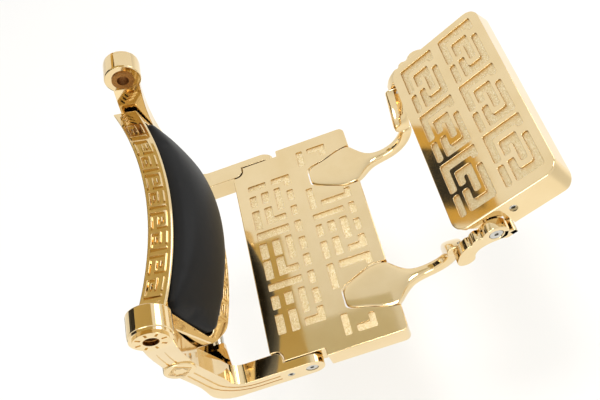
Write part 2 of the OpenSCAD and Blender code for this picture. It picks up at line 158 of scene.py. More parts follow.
def cloudedMaterial(name, settings, cloudMm, detail, stops, grainMm, depthMm, strength):
    # one colour that drifts a little, over one fine grain
    material, tree, shader, place = newMaterial(name, settings)
    cloud = addNode(tree, "TexNoise", {"Scale": per(cloudMm), "Detail": detail}, {"Vector": place})
    tint = addNode(tree, "ValToRGB", {"stops": stops}, {"Fac": cloud})
    grain = addNode(tree, "TexNoise", {"Scale": per(grainMm), "Detail": 2}, {"Vector": place})
    texture = addNode(tree, "Bump", {"Strength": strength, "Distance": depthMm * mm}, {"Height": grain})
    tree.links.new(tint.outputs["Color"], shader.inputs["Base Color"])
    tree.links.new(texture.outputs["Normal"], shader.inputs["Normal"])
    return material


def paintedShadeGold():
    # Walls of the relief: painted shade, a darker and duller gold that stands in for the shadow the recesses hold
    return cloudedMaterial("paintedShadeReliefWall", {"Metallic": 1.0, "Roughness": 0.32},
                           4, 3, [(0.3, "#A98340"), (0.7, "#C29B57")], 0.9, 0.04, 0.4)


def blackLeather():
    # Corrected-grain upholstery leather: near-black, matte, with a faint cool bloom
    material, tree, shader, place = newMaterial("blackUpholsteryLeather", {
        "Roughness": 0.5, "Specular IOR Level": 0.22, "Sheen Weight": 0.04, "Sheen Roughness": 0.4})
    cloud = addNode(tree, "TexNoise", {"Scale": per(60), "Detail": 3}, {"Vector": place})
    tint = addNode(tree, "ValToRGB", {"stops": [(0.3, "#070708"), (0.7, "#0D0D0E")]}, {"Fac": cloud})
    cells = addNode(tree, "TexVoronoi", {"Scale": per(1.4), "feature": "DISTANCE_TO_EDGE"}, {"Vector": place})
    pores = addNode(tree, "Bump", {"Strength": 0.35, "Distance": 0.12 * mm}, {"Height": cells.outputs["Distance"]})
    rumple = addNode(tree, "TexNoise", {"Scale": per(9), "Detail": 3}, {"Vector": place})
    hide = addNode(tree, "Bump", {"Strength": 0.25, "Distance": 0.25 * mm}, {"Height": rumple, "Normal": pores})
    tree.links.new(tint.outputs["Color"], shader.inputs["Base Color"])
    tree.links.new(hide.outputs["Normal"], shader.inputs["Normal"])
    return material


def zincSteel():
    # Bright zinc plate on turned screws: cool and slightly cloudy
    return cloudedMaterial("brightZincPlate", {"Metallic": 1.0, "Roughness": 0.2},
                           6, 3, [(0.3, "#B9B7B1"), (0.7, "#CFCDC7")], 0.8, 0.03, 0.2)


def bearingBronze():
    # Sintered bushes: dull and porous
    return cloudedMaterial("sinteredBronze", {"Metallic": 1.0, "Roughness": 0.45},
                           1.2, 3, [(0.35, "#8C6233"), (0.65, "#B98A52")], 0.6, 0.05, 0.5)


def plywood():
    # Birch plywood seat board: pale, long soft grain
    material, tree, shader, place = newMaterial("birchPlywood", {"Roughness": 0.7})
    along = addNode(tree, "Mapping", {"Scale": (0.12, 1, 1)}, {"Vector": place})
    grain = addNode(tree, "TexNoise", {"Scale": per(4), "Detail": 5, "Roughness": 0.6}, {"Vector": along})
    tint = addNode(tree, "ValToRGB", {"stops": [(0.3, "#A97C4B"), (0.7, "#CFA676")]}, {"Fac": grain})
    fibre = addNode(tree, "Bump", {"Strength": 0.5, "Distance": 0.15 * mm}, {"Height": grain})
    tree.links.new(tint.outputs["Color"], shader.inputs["Base Color"])
    tree.links.new(fibre.outputs["Normal"], shader.inputs["Normal"])
    return material


def mouldedNylon():
    # Natural nylon washers: slightly waxy
    return cloudedMaterial("naturalNylon", {"Roughness": 0.4},
                           8, 2, [(0.3, "#D2CCBC"), (0.7, "#E2DDD0")], 0.7, 0.03, 0.3)


def mouldedRubber():
    # Black rubber buffers: dull, faintly dusty
    return cloudedMaterial("mouldedBlackRubber", {"Roughness": 0.75},
                           5, 3, [(0.3, "#131313"), (0.7, "#1E1E1D")], 0.6, 0.04, 0.4)


finish = {
    "gold": polishedGold(),
    "stipple": stippledGold(),
    "shade": paintedShadeGold(),
    "leather": blackLeather(),
    "zinc": zincSteel(),
    "bronze": bearingBronze(),
    "ply": plywood(),
    "nylon": mouldedNylon(),
    "rubber": mouldedRubber(),
}
slotFinish = {
    "gold_plate": "gold", "zinc_steel": "zinc", "bush_bronze": "bronze", "plywood": "ply",
    "black_leather": "leather", "white_nylon": "nylon", "black_rubber": "rubber",
}
for part in frame["record"]["subparts"]:
    mesh = frame["nodes"][part["node"]].data
    mesh.materials.clear()
    mesh.materials.append(finish[slotFinish[part["material_slot"]]])
print("materials made:", len(finish))


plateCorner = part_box("footplate")[1]
platePlace = Matrix.Translation((0, plateCorner.y, plateCorner.z))
joints = {j["name"]: j for j in frame["joints"]}
padPitch = 29
padPivot = (-38, -25)  # the foot pad's pivot in its own frame: from the heel edge, from the top face
padTurn = Matrix.Rotation(math.radians(-padPitch), 4, "X")
padPlace = (Matrix.Translation(joints["foot_pad_flip"]["pos_m"]) @ padTurn
            @ Matrix.Translation((0, -padPivot[0] * mm, -padPivot[1] * mm)))


def spun(degrees, axis="Z"):
    return Matrix.Rotation(math.radians(degrees), 3, axis)


def drawFace(bm, points):
    # points are (x, y, corner radius); makes one flat face at z = 0
    corners = [(bm.verts.new((p[0], p[1], 0)), p[2] if len(p) > 2 else 0) for p in points]
    bm.faces.new([c[0] for c in corners])
    for radius in sorted({c[1] for c in corners if c[1] > 0}):
        chosen = [v for v, r in corners if r == radius and v.is_valid]
        bmesh.ops.bevel(bm, geom=chosen, offset=radius, offset_type="OFFSET", segments=6,
                        profile=0.5, affect="VERTICES", material=-1, clamp_overlap=True)


def pullUp(bm, height):
    out = bmesh.ops.extrude_face_region(bm, geom=bm.faces[:])
    moved = [g for g in out["geom"] if isinstance(g, bmesh.types.BMVert)]
    bmesh.ops.translate(bm, vec=(0, 0, height), verts=moved)
    bmesh.ops.recalc_face_normals(bm, faces=bm.faces[:])


def roundEdges(bm, width, segments=3, sharperThan=40, chosen=None):
    edges = [e for e in bm.edges if len(e.link_faces) == 2
             and e.calc_face_angle(0) > math.radians(sharperThan) and (chosen is None or chosen(e))]
    bmesh.ops.bevel(bm, geom=edges, offset=width, offset_type="OFFSET", segments=segments,
                    profile=0.5, affect="EDGES", material=-1, clamp_overlap=True, loop_slide=True)


def prism(points, height, base=0.0):
    bm = bmesh.new()
    drawFace(bm, points)
    pullUp(bm, height)
    bmesh.ops.translate(bm, vec=(0, 0, base), verts=bm.verts[:])
    return bm


def join(target, source):
    carrier = bpy.data.meshes.new("carrier")
    source.to_mesh(carrier)
    source.free()
    target.from_mesh(carrier)
    bpy.data.meshes.remove(carrier)


def reliefPaint(floorZ, halfX, low, high):
    # floors get the stipple; the walls round them get painted shade, a darker gold plate
    def choose(face):
        spot = face.calc_center_median()
        inside = abs(spot.x) < halfX and low < spot.y < high
        if abs(spot.z - floorZ) < 0.1 and face.normal.z > 0.9:
            return 1
        # index 2 is painted shade on the recess walls
        return 2 if inside and floorZ - 0.05 < spot.z < -0.3 and abs(face.normal.z) < 0.45 else 0
    return choose


def tempObject(bm):
    mesh = bpy.data.meshes.new("temp")
    bm.to_mesh(mesh)
    bm.free()
    holder = bpy.data.objects.new("temp", mesh)
    scene.collection.objects.link(holder)
    return holder


def combine(bm, cutter, operation):
    body = tempObject(bm)
    tool = tempObject(cutter)
    cut = body.modifiers.new("cut", "BOOLEAN")
    cut.operation = operation
    cut.solver = "EXACT"
    cut.use_self = True
    cut.object = tool
    bpy.context.view_layer.update()
    result = bmesh.new()
    evaluated = body.evaluated_get(bpy.context.evaluated_depsgraph_get())
    result.from_mesh(evaluated.to_mesh())
    evaluated.to_mesh_clear()
    for holder in (body, tool):
        mesh = holder.data
        bpy.data.objects.remove(holder)
        bpy.data.meshes.remove(mesh)
    bmesh.ops.remove_doubles(result, verts=result.verts[:], dist=0.001)
    bmesh.ops.dissolve_degenerate(result, edges=result.edges[:], dist=0.001)
    return result


def cutAway(bm, cutter):
    return combine(bm, cutter, "DIFFERENCE")


def cutAcross(bm, spots, axis):
    # cuts a mesh across one axis at several spots, so that it can be bent afterwards
    normal = [0, 0, 0]
    normal[axis] = 1
    for spot in spots:
        bmesh.ops.bisect_plane(bm, geom=bm.verts[:] + bm.edges[:] + bm.faces[:], dist=0.0005,
                               plane_co=[spot * n for n in normal], plane_no=normal)


def mirrored(bm):
    bmesh.ops.scale(bm, vec=(-1, 1, 1), verts=bm.verts[:])
    bmesh.ops.reverse_faces(bm, faces=bm.faces[:])
    return bm


def standUp(bm, x0):
    # a drawing in (y, z) with thickness along local z, turned so the thickness runs along X
    turn = Matrix(((0, 0, 1, x0), (1, 0, 0, 0), (0, 1, 0, 0), (0, 0, 0, 1)))
    bmesh.ops.transform(bm, verts=bm.verts[:], matrix=turn)
    bmesh.ops.recalc_face_normals(bm, faces=bm.faces[:])


def barAlongX(x0, x1, y, z, radius, segments=40):
    bm = bmesh.new()
    bmesh.ops.create_cone(bm, cap_ends=True, segments=segments,
                          radius1=radius, radius2=radius, depth=x1 - x0)
    bmesh.ops.rotate(bm, verts=bm.verts[:], cent=(0, 0, 0), matrix=spun(90, "Y"))
    bmesh.ops.translate(bm, verts=bm.verts[:], vec=((x0 + x1) / 2, y, z))
    return bm


def ring(bm, middle, across, along, points):
    # one closed section: points are (across, along) offsets from the middle
    spots = [bm.verts.new(Vector(middle) + Vector(across) * a + Vector(along) * b) for a, b in points]
    return [bm.edges.new((spots[i], spots[(i + 1) % len(spots)])) for i in range(len(spots))]


def skin(bm, loops):
    for first, second in zip(loops, loops[1:]):
        bmesh.ops.bridge_loops(bm, edges=first + second)
    for loop in (loops[0], loops[-1]):
        bmesh.ops.contextual_create(bm, geom=loop)
    bmesh.ops.recalc_face_normals(bm, faces=bm.faces[:])


sharpFrom = 35  # degrees; edges sharper than this stay crisp


def finishPiece(name, bm, place, body, finishes, replaces, flip=False, paint=None, levels=0):
    if flip:
        bmesh.ops.scale(bm, vec=(-1, 1, 1), verts=bm.verts[:])
    bmesh.ops.remove_doubles(bm, verts=bm.verts[:], dist=0.0005)
    bmesh.ops.recalc_face_normals(bm, faces=bm.faces[:])
    if paint:
        for face in bm.faces:
            face.material_index = paint(face)
    bmesh.ops.transform(bm, matrix=place @ Matrix.Scale(mm, 4), verts=bm.verts[:])
    mesh = bpy.data.meshes.new(name)
    bm.to_mesh(mesh)
    bm.free()
    for key in finishes:
        mesh.materials.append(finish[key])
    mesh.shade_smooth()
    piece = bpy.data.objects.new(name, mesh)
    scene.collection.objects.link(piece)
    if levels:
        surface = piece.modifiers.new("surface", "SUBSURF")
        surface.levels = surface.render_levels = levels
    else:
        mesh.set_sharp_from_angle(angle=math.radians(sharpFrom))
        weighted = piece.modifiers.new("weighted", "WEIGHTED_NORMAL")
        weighted.keep_sharp = True
        weighted.weight = 100
    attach(piece, body)
    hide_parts(*replaces)
    return piece


footplate = {
    "half": 180.5, "depth": 190, "skirt": 32, "wall": 8,
    "notch": (169.5, 76), "nest": (153.5, 18, 11), "toeRound": 9,
    "edgeRound": 1.8, "reliefDepth": 2.2, "reliefRound": 0.45, "reliefCorner": 1.8,
    "hollow": [(-150, -10, 5), (-150, -30, 5), (-160, -30, 5), (-160, -182, 8),
               (160, -182, 8), (160, -30, 5), (150, -30, 5), (150, -10, 5)],
    "pocketGap": 0.9, "pocketDepth": 8,
}
# Recesses as (nearest and furthest from the heel edge, lowest and highest X)
plateBars = [
    (18, 30, -131, -100), (18, 30, -92, -70), (18, 30, -43, -10),
    (18, 30, -8, 20), (18, 30, 45, 80), (19, 30, 88, 108),
    (38, 50, -132, -98), (38, 50, -90, -70), (38, 50, -8, 20), (38, 50, 88, 109),
    (59, 69, -110, -70), (59, 69, -21, 20), (59, 69, 68, 109),
    (78, 88, -102, -78), (78, 88, -70, -49), (78, 88, -40, -20), (78, 88, -12, 10),
    (78, 88, 20, 40), (78, 88, 50, 68), (78, 88, 78, 98),
    (18, 69, -62, -50), (18, 69, 26, 40), (20, 49, 118, 128),
    (107, 117, -162, -130), (107, 117, -90, -49), (107, 117, -40, -10), (107, 117, -1, 20), (107, 117, 49, 88),
    (107, 117, 133, 162), (125, 136, -40, -9), (125, 136, 0, 20), (144, 155, -18, 20),
    (163, 172, -10, 10), (163, 172, 20, 40), (107, 155, 29, 39),
]
# Bent recesses: the bar, then the leg that turns off it
plateCorners = [
    ((58, 88, -130, -118), (78, 88, -118, -107)), ((58, 88, 117, 128), (78, 88, 107, 117)),
    ((38, 69, -42, -30), (38, 50, -30, -10)), ((38, 69, 49, 60), (38, 50, 60, 80)),
    ((144, 172, -40, -29), (162, 172, -29, -18)), ((125, 172, -61, -49), (163, 172, -68, -61)),
    ((125, 153, -162, -151), (144, 153, -151, -140)), ((125, 154, 152, 162), (144, 154, 141, 152)),
    ((125, 172, 50, 60), (163, 172, 60, 68)),
]


reliefFinishes = ["gold", "stipple", "shade"]


def reliefRim(edge):
    # the square edge between the top face and a recess's wall
    onTop = all(abs(v.co.z) < 0.05 for v in edge.verts)
    return onTop and abs(edge.calc_face_angle(0) - math.pi / 2) < 0.3


def recessTool(shapes, depth, corner):
    tool = bmesh.new()
    for shape in shapes:
        bm = bmesh.new()
        drawFace(bm, [(x, y, corner) for x, y in shape])
        pullUp(bm, depth + 5)
        bmesh.ops.translate(bm, vec=(0, 0, -depth), verts=bm.verts[:])
        join(tool, bm)
    return tool


def barShape(t0, t1, x0, x1):
    return [(x0, -t0), (x0, -t1), (x1, -t1), (x1, -t0)]


def cornerShape(bar, leg):
    # walks round an L: a bar, and a leg off its high or low X side at the toe or heel end
    t0, t1, x0, x1 = bar
    s0, s1, z0, z1 = leg
    if z0 >= x1:  # leg leaves the high side
        if abs(s1 - t1) < 1:
            return [(x0, -t0), (x0, -t1), (z1, -t1), (z1, -s0), (x1, -s0), (x1, -t0)]
        return [(x0, -t0), (x0, -t1), (x1, -t1), (x1, -s1), (z1, -s1), (z1, -t0)]
    return [(x1, -t0), (x1, -t1), (z0, -t1), (z0, -s0), (x0, -s0), (x0, -t0)]


rootOutline = [  # from the heel edge, then the reach either side of the root's middle
    (118, -13.5, 13), (126, -19, 18.5), (147, -28, 22.5), (168, -37, 31), (188, -36, 35.5),
]
rootMiddle = 108
rootCorner = 3


def rootPlan(grow):
    inner, outer = [], []
    for i, (t, low, high) in enumerate(rootOutline):
        tip = grow if i == 0 else 0
        inner.append((rootMiddle + low - grow, tip - t, rootCorner))
        outer.append((rootMiddle + high + grow, tip - t, rootCorner))
    toe = footplate["depth"] + 4
    inner[-1] = (inner[-1][0], -toe, 0)
    outer[-1] = (outer[-1][0], -toe, 0)
    return inner + outer[::-1]


def makeFootplate(look):
    half, depth, skirt = look["half"], look["depth"], look["skirt"]
    notchIn, notchEnd = look["notch"]
    nestIn, nestDepth, nestRound = look["nest"]
    right = [(nestIn, 0, 2), (nestIn, -nestDepth, nestRound), (notchIn, -nestDepth, 0), (notchIn, -notchEnd, 1.5),
             (half, -notchEnd, 2.5), (half, -depth, look["toeRound"])]
    bm = prism(right + [(-x, y, r) for x, y, r in right[::-1]], skirt, -skirt)
    bm = cutAway(bm, prism(look["hollow"], skirt, -skirt - look["wall"]))
    roundEdges(bm, look["edgeRound"], 4, 50, lambda e: all(v.co.z > -0.1 for v in e.verts))
    shapes = [barShape(*bar) for bar in plateBars] + [cornerShape(*pair) for pair in plateCorners]
    tool = recessTool(shapes, look["reliefDepth"], look["reliefCorner"])
    for side in (1, -1):
        pocket = prism(rootPlan(look["pocketGap"]), 20, -look["pocketDepth"])
        join(tool, pocket if side > 0 else mirrored(pocket))
    bm = cutAway(bm, tool)
    roundEdges(bm, look["reliefRound"], 2, 60, reliefRim)
    finishPiece("footplateTop", bm, platePlace, "footplate_assembly", reliefFinishes,
                ["footplate"], paint=reliefPaint(-look["reliefDepth"], 165, -175, -15))
    print("footplate made")


makeFootplate(footplate)


sideArm = {
    "outer": 183, "thick": 28, "fingerThick": 12, "edgeRound": 2.0, "lugRound": 11, "lugEnd": -16,
    # y, z, corner radius, from the finger's end round the back of the arm to the boss and down its front
    "outline": [(-68, 0, 17.9), (-68, -36, 17.9), (92, -36, 34), (92, 30, 20), (105, 150, 60), (86, 236, 1),
                (48, 236, 1), (71, 150, 60), (56, 30, 10), (56, 0, 27), (0, 0, 0)],
    "spread": [(28, 155, 183), (150, 168.2, 193.2), (248, 183, 207)],  # z, inner X, outer X
    "grooves": (12.5, 22.5), "grooveWidth": 2.6, "grooveDepth": 1.3,
    # y, z, radius, inner X, outer X
    "boss": (66, 248, 25, 181, 209), "medallion": (86, 118, 20, 179, 194),
    "holes": [(150, 215, 66, 248, 11.05), (165, 190, -50, -18, 6.55), (177, 190, -50, -18, 8.7),
              (165, 190, -20, -18, 5.05), (150, 163, 72, -6, 10.05)],  # inner X, outer X, y, z, radius
    "chevrons": (6, 10.5, 15),
}


def armSpread(look, z):
    rows = look["spread"]
    if z <= rows[0][0]:
        return rows[0][1:]
    for (z0, a0, b0), (z1, a1, b1) in zip(rows, rows[1:]):
        if z <= z1 or z1 == rows[-1][0]:
            t = (z - z0) / (z1 - z0)
            return a0 + (a1 - a0) * t, b0 + (b1 - b0) * t


def grooveAlong(inset, width, front, outer, depth):
    a, b = inset - width / 2, inset + width / 2
    bm = prism([(front, -a, 0), (56 + a, -a, 30 + a), (71 + a, 150, 70), (63 + a, 186, 0),
                (63 + b, 186, 0), (71 + b, 150, 70), (56 + b, -b, 30 + b), (front, -b, 0)], depth + 4)
    standUp(bm, outer - depth)
    return bm


def makeSideArm(look, name, node, flip):
    outer, thick = look["outer"], look["thick"]
    inner = outer - thick
    bm = prism(look["outline"], thick)
    standUp(bm, inner)
    finger, lug, lugEnd = outer - look["fingerThick"], look["lugRound"], look["lugEnd"]
    step = prism([(inner - 5, -110, 0), (inner - 5, lugEnd, 0), (finger, lugEnd, 0),
                  (finger, -110, 0)], 60, -50)
    bm = cutAway(bm, step)
    corner = prism([(inner - 5, lugEnd - 4, 0), (inner - 5, lugEnd + lug, 0),
                    (inner + lug, lugEnd + lug, 0), (inner + lug, lugEnd - 4, 0)], 60, -48)
    post = bmesh.new()
    bmesh.ops.create_cone(post, cap_ends=True, segments=48, radius1=lug, radius2=lug, depth=120)
    bmesh.ops.translate(post, vec=(inner + lug, lugEnd + lug, 0), verts=post.verts[:])
    bm = cutAway(bm, cutAway(corner, post))
    roundEdges(bm, look["edgeRound"], 3, 50)
    tool = bmesh.new()
    for inset in look["grooves"]:
        join(tool, grooveAlong(inset, look["grooveWidth"], -6, outer, look["grooveDepth"]))
    bm = cutAway(bm, tool)
    cutAcross(bm, range(34, 240, 9), 2)
    for vert in bm.verts:
        low, high = armSpread(look, vert.co.z)
        vert.co.x = low + (vert.co.x - inner) * (high - low) / thick
    for key, segments, rounding in (("boss", 72, 2), ("medallion", 64, 1.6)):
        y, z, radius, x0, x1 = look[key]
        disc = barAlongX(x0, x1, y, z, radius, segments)
        roundEdges(disc, rounding, 3, 60)
        bm = combine(bm, disc, "UNION")
    holes = bmesh.new()
    for i, hole in enumerate(look["holes"]):
        join(holes, barAlongX(*hole, 64 if i == 0 else 40))
    bm = cutAway(bm, holes)
    for turn in (0, 90, 180, 270):  # nested chevrons, raised on the medallion
        for size in look["chevrons"]:
            peak = size * 0.9
            ridge = prism([(-size, 0, 0.6), (0, peak, 0.6), (size, 0, 0.6),
                           (size - 2, 0, 0.4), (0, peak - 2.2, 0.4), (2 - size, 0, 0.4)], 1.2)
            roundEdges(ridge, 0.5, 2, 50, lambda e: all(v.co.z > 1 for v in e.verts))
            bmesh.ops.scale(ridge, vec=(0.62, 0.62, 1), verts=ridge.verts[:])
            bmesh.ops.translate(ridge, vec=(0, 7, 0), verts=ridge.verts[:])
            bmesh.ops.rotate(ridge, cent=(0, 0, 0), matrix=spun(turn), verts=ridge.verts[:])
            standUp(ridge, x1 - 0.4)
            bmesh.ops.translate(ridge, vec=(0, y, z), verts=ridge.verts[:])
            join(bm, ridge)
    finishPiece(name, bm, platePlace, "leg_rest", ["gold"], [node], flip=flip)


makeSideArm(sideArm, "sideArmFar", "side_arm_left", False)
makeSideArm(sideArm, "sideArmNear", "side_arm_right", True)
print("side arms made")


calfPad = {
    "axis": 510, "bow": 470, "lean": 22, "low": 57, "high": 200, "crest": 8, "depth": 30,
    "frame": [(128, 57, 10), (157, 84, 12), (170.5, 200, 5)], "edgeRound": 2.0,
    "cushionHalf": 151, "cushionZ": (91, 195), "cushionCorner": 13, "cushionGap": 2.5,
    "crown": 21, "sideRise": 6, "topRidge": 2.2, "railRidge": 1.8, "railZ": 74, "bandDepth": 15,
}


def bend(look, bm):
    # from a flat drawing (x, depth behind the front, z) to the bowed pad that leans back at the top
    for vert in bm.verts:
        x, deep, z = vert.co
        radius = look["bow"] + look["lean"] * (look["high"] - z) / (look["high"] - look["low"]) - deep
        if z > look["high"] - 6:
            vert.co.z = z + look["crest"] * max(0, min(1, deep / look["depth"])) * (z - look["high"] + 6) / 6
        vert.co.y = look["axis"] - math.sqrt(radius * radius - x * x)


def layBack(bm, front=0.0):
    # a drawing in (x, z) pulled up along local z, turned so that it runs back along y
    turn = Matrix(((1, 0, 0, 0), (0, 0, 1, front), (0, 1, 0, 0), (0, 0, 0, 1)))
    bmesh.ops.transform(bm, verts=bm.verts[:], matrix=turn)
    bmesh.ops.recalc_face_normals(bm, faces=bm.faces[:])


def keyRidges(width, height, line):
    # one meander link as a closed outline: a hook that turns back into itself
    w, h, t = width, height, line
    return [[(0, 0), (0, h), (w, h), (w, h * 0.36), (w * 0.36, h * 0.36), (w * 0.36, h * 0.36 + t),
             (w - t, h * 0.36 + t), (w - t, h - t), (t, h - t), (t, 0)],
            [(w * 0.30, 0), (w * 0.30, t), (w, t), (w, 0)],
            [(w * 0.40, h * 0.62), (w * 0.40, h * 0.62 + t), (w * 0.72, h * 0.62 + t), (w * 0.72, h * 0.62)]]


def raisedKey(width, height, line, rise, turned):
    bm = bmesh.new()
    for outlinePoints in keyRidges(width, height, line):
        bar = prism([(x, y, 0.7) for x, y in outlinePoints], rise + 0.6, -0.6)
        roundEdges(bar, min(rise, line / 2) * 0.75, 3, 50,
                   lambda e: all(v.co.z > rise - 0.01 for v in e.verts))
        join(bm, bar)
    bmesh.ops.translate(bm, vec=(-width / 2, -height / 2, 0), verts=bm.verts[:])
    if turned:
        bmesh.ops.rotate(bm, cent=(0, 0, 0), matrix=spun(180), verts=bm.verts[:])
    return bm


def makeCalfFrame(look):
    half = look["frame"]
    bm = prism([(x, z, r) for x, z, r in half] + [(-x, z, r) for x, z, r in half[::-1]], look["depth"])
    layBack(bm)
    c, (low, high), corner = look["cushionHalf"], look["cushionZ"], look["cushionCorner"]
    opening = prism([(c, low, corner), (c, high, corner), (-c, high, corner), (-c, low, corner)], 50)
    layBack(opening, -10)
    bm = cutAway(bm, opening)
    roundEdges(bm, look["edgeRound"], 3, 50)
    cutAcross(bm, range(-168, 170, 8), 0)
    # the top band's links stand on its upper face, the bottom rail's on its front
    for i in range(-4, 5):
        link = raisedKey(24, 20, 2.6, look["topRidge"], i % 2)
        bmesh.ops.translate(link, vec=(i * 31, look["bandDepth"], look["high"] - 0.2), verts=link.verts[:])
        join(bm, link)
    for i in range(-4, 5):
        link = raisedKey(22, 19, 2.4, look["railRidge"], i % 2)
        layBack(link)
        bmesh.ops.transform(link, verts=link.verts[:], matrix=Matrix.Scale(-1, 4, (0, 1, 0)))
        bmesh.ops.recalc_face_normals(link, faces=link.faces[:])
        bmesh.ops.translate(link, vec=(i * 27, 0.2, look["railZ"]), verts=link.verts[:])
        join(bm, link)
    for side in (-1, 1):  # chevrons where the top band ends
        for k in range(3):
            ridge = prism([(0, 0, 0.5), (9, 9, 0.5), (18, 0, 0.5),
                           (15.4, 0, 0.5), (9, 6.4, 0.5), (2.6, 0, 0.5)], 2.2, -0.6)
            roundEdges(ridge, 0.9, 2, 50, lambda e: all(v.co.z > 1.5 for v in e.verts))
            bmesh.ops.translate(ridge, vec=(-9, 0, 0), verts=ridge.verts[:])
            bmesh.ops.rotate(ridge, cent=(0, 0, 0), matrix=spun(-90 * side), verts=ridge.verts[:])
            bmesh.ops.translate(ridge, vec=(side * (141 + 7 * k), look["bandDepth"], look["high"] - 0.2),
                                verts=ridge.verts[:])
            join(bm, ridge)
    cutAcross(bm, range(-168, 170, 8), 0)
    bend(look, bm)
    finishPiece("calfFrameCasting", bm, platePlace, "leg_rest", ["gold"], ["calf_frame"])
    print("calf frame made")


makeCalfFrame(calfPad)


def inflate(bm, pressure, cap):
    # swells a closed pad under cloth pressure, holding its back, and caps how far any point may move
    mesh = bpy.data.meshes.new("swell")
    bmesh.ops.scale(bm, vec=(mm, mm, mm), verts=bm.verts[:])
    bm.to_mesh(mesh)
    bm.free()
    pad = bpy.data.objects.new("swell", mesh)
    scene.collection.objects.link(pad)
    remesh = pad.modifiers.new("remesh", "REMESH")
    remesh.mode = "VOXEL"
    remesh.voxel_size = 5 * mm
    bpy.context.view_layer.update()
    start = bpy.data.meshes.new_from_object(pad.evaluated_get(bpy.context.evaluated_depsgraph_get()))
    pad.modifiers.clear()
    pad.data = start
    before = [v.co.copy() for v in start.vertices]
    back = max(v.y for v in before)
    held = pad.vertex_groups.new(name="held")
    held.add([v.index for v in start.vertices if v.co.y > back - 8 * mm], 1.0, "REPLACE")
    cloth = pad.modifiers.new("cloth", "CLOTH")
    cloth.settings.use_pressure = True
    cloth.settings.uniform_pressure_force = pressure
    cloth.settings.effector_weights.gravity = 0
    cloth.settings.vertex_group_mass = "held"
    cloth.settings.quality = 5
    cloth.collision_settings.use_collision = False
    for step in range(1, 21):
        scene.frame_set(step)
    after = bpy.data.meshes.new_from_object(pad.evaluated_get(bpy.context.evaluated_depsgraph_get()))
    scene.frame_set(1)
    for vert, old in zip(after.vertices, before):
        move = vert.co - old
        if move.length > cap * mm:
            vert.co = old + move.normalized() * cap * mm
    swollen = bmesh.new()
    swollen.from_mesh(after)
    bmesh.ops.scale(swollen, vec=(1 / mm, 1 / mm, 1 / mm), verts=swollen.verts[:])
    bpy.data.objects.remove(pad)
    for old in (mesh, start, after):
        bpy.data.meshes.remove(old)
    return swollen


def makeCalfCushion(look):
    gap, corner = look["cushionGap"], look["cushionCorner"]
    c, low, high = look["cushionHalf"] - gap, look["cushionZ"][0] + gap, look["cushionZ"][1] - gap
    bm = prism([(c, low, corner), (c, high, corner), (-c, high, corner), (-c, low, corner)],
               18 + look["sideRise"])
    layBack(bm, -look["sideRise"])
    cutAcross(bm, range(-144, 150, 9), 0)
    cutAcross(bm, range(100, 195, 9), 2)
    roundEdges(bm, 5, 3, 60, lambda e: all(v.co.y < -look["sideRise"] + 0.1 for v in e.verts))
    middle, reach = (low + high) / 2, (high - low) / 2
    for vert in bm.verts:
        if vert.co.y < -look["sideRise"] + 5.1:
            across = max(0, 1 - abs(vert.co.x / c) ** 1.9)
            up = max(0, 1 - abs((vert.co.z - middle + 4) / (reach + 4)) ** 2.2)
            vert.co.y -= look["crown"] * across ** 0.95 * up ** 0.7
    bm = inflate(bm, 4, 6)
    for vert in bm.verts:  # stays inside its opening
        vert.co.x = max(-c - 1.5, min(c + 1.5, vert.co.x))
        vert.co.z = max(low - 1.5, min(high + 1.5, vert.co.z))
        vert.co.y = min(18.5, vert.co.y)
    bend(look, bm)
    piece = finishPiece("calfCushionLeather", bm, platePlace, "leg_rest", ["leather"],
                        ["calf_cushion"], levels=1)
    print("calf cushion made")


makeCalfCushion(calfPad)


swanNeck = {
    # (x, y, z of the top line, pitch, width, height) from the tip of the root to the block
    "stations": [
        (107.8, -118.6, 0.0, 0, 22, 7), (107.8, -121, 0.2, 0, 28, 7.5), (107.8, -127, 0.4, 0, 36.5, 7.8),
        (105.3, -147, 0.6, 0, 50, 7.8), (105.3, -168, 0.8, 0, 67.5, 7.8), (107.8, -186, 0.9, 0, 70, 7.8),
        (107.3, -192, 0.9, 0, 62, 12), (106.3, -200, 0.9, 0, 44, 17),
        (105.6, -211, 1.2, 2, 26, 17.5), (105.2, -224, 1.9, 5, 17.5, 17.5), (105.2, -238, 4.2, 14, 15.5, 17.5),
        (105.8, -251, 9.2, 30, 15.5, 18), (106.8, -262, 18.5, 50, 15.5, 18.5),
        (108, -269, 31, 68, 16, 19), (109, -271, 43, 84, 16.5, 19),
    ],
    # the bar that sweeps out to the cheek, bottom to end
    "foot": [(108.5, -274, 34), (112, -275, 50), (120, -276, 65),
             (130, -277, 78), (137.5, -278, 85), (139.9, -278, 86)],
    "footSize": (25, 19), "footCorner": 0.16,
}


def roundedBox(width, height, corner):
    # eight points, two by each corner; subdivision turns them into soft corners
    w, h = width / 2, height / 2
    c = min(w, h) * corner * 2
    return [(-w, -h + c), (-w, h - c), (-w + c, h), (w - c, h), (w, h - c), (w, -h + c), (w - c, -h), (-w + c, -h)]


def makeNeck(look, name, node, flip):
    bm = bmesh.new()
    loops = []
    for x, y, top, pitch, width, height in look["stations"]:
        angle = math.radians(pitch)
        upward = Vector((0, math.sin(angle), math.cos(angle)))
        middle = Vector((x, y, top)) - upward * height / 2
        corner = 0.1 if width > 30 else 0.22
        loops.append(ring(bm, middle, (1, 0, 0), upward, roundedBox(width, height, corner)))
    skin(bm, loops)
    bar = bmesh.new()
    wide, high = look["footSize"]
    loops = []
    spots = [Vector(p) for p in look["foot"]]
    for i, spot in enumerate(spots):
        ahead = (spots[min(i + 1, len(spots) - 1)] - spots[max(i - 1, 0)]).normalized()
        if i >= len(spots) - 2:  # square to the cheek at its end
            ahead = Vector((1, 0, 0))
        level = ahead.cross(Vector((0, 1, 0))).normalized()
        loops.append(ring(bar, spot, (0, 1, 0), level, roundedBox(wide, high, look["footCorner"])))
    skin(bar, loops)
    join(bm, bar)
    finishPiece(name, bm, platePlace, "footplate_assembly", ["gold"], [node],
                flip=flip, levels=2)


